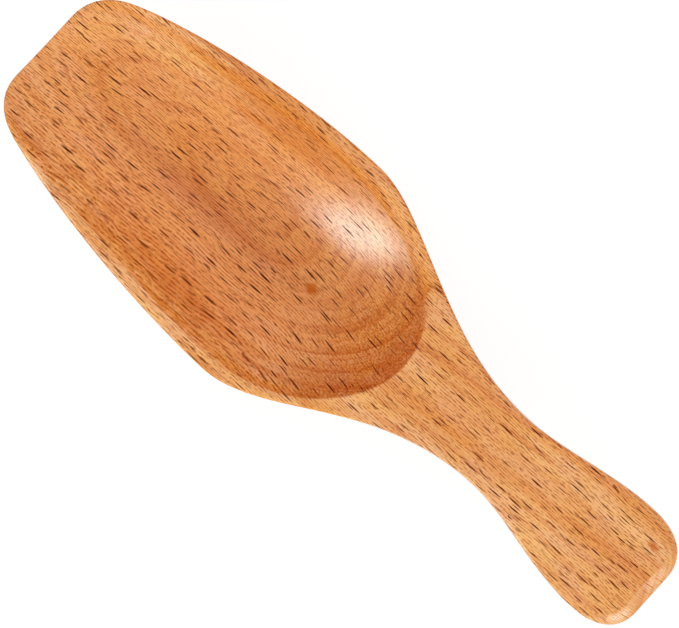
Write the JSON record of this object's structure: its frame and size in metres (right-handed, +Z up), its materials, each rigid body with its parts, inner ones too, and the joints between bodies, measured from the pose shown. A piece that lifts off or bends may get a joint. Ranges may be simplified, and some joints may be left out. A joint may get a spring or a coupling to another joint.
{
  "type": "scoop",
  "caption": "One-piece wooden kitchen scoop: an open-fronted bowl milled into a board, with a flat lip and a short paddle handle flush with the rim.",
  "frame": {"origin": "on the surface the scoop stands on, under the middle of its length and width", "axes": "+X from the handle's end to the bowl's open mouth, +Y to the left of that, +Z up from the flat under the bowl to the flat top face"},
  "size_m": [0.18, 0.0588, 0.0212],
  "materials": {
    "beech": "sanded beech with a thin satin oil finish"
  },
  "bodies": {
    "root": {"scoop_body": "beech"}
  },
  "joints": []
}
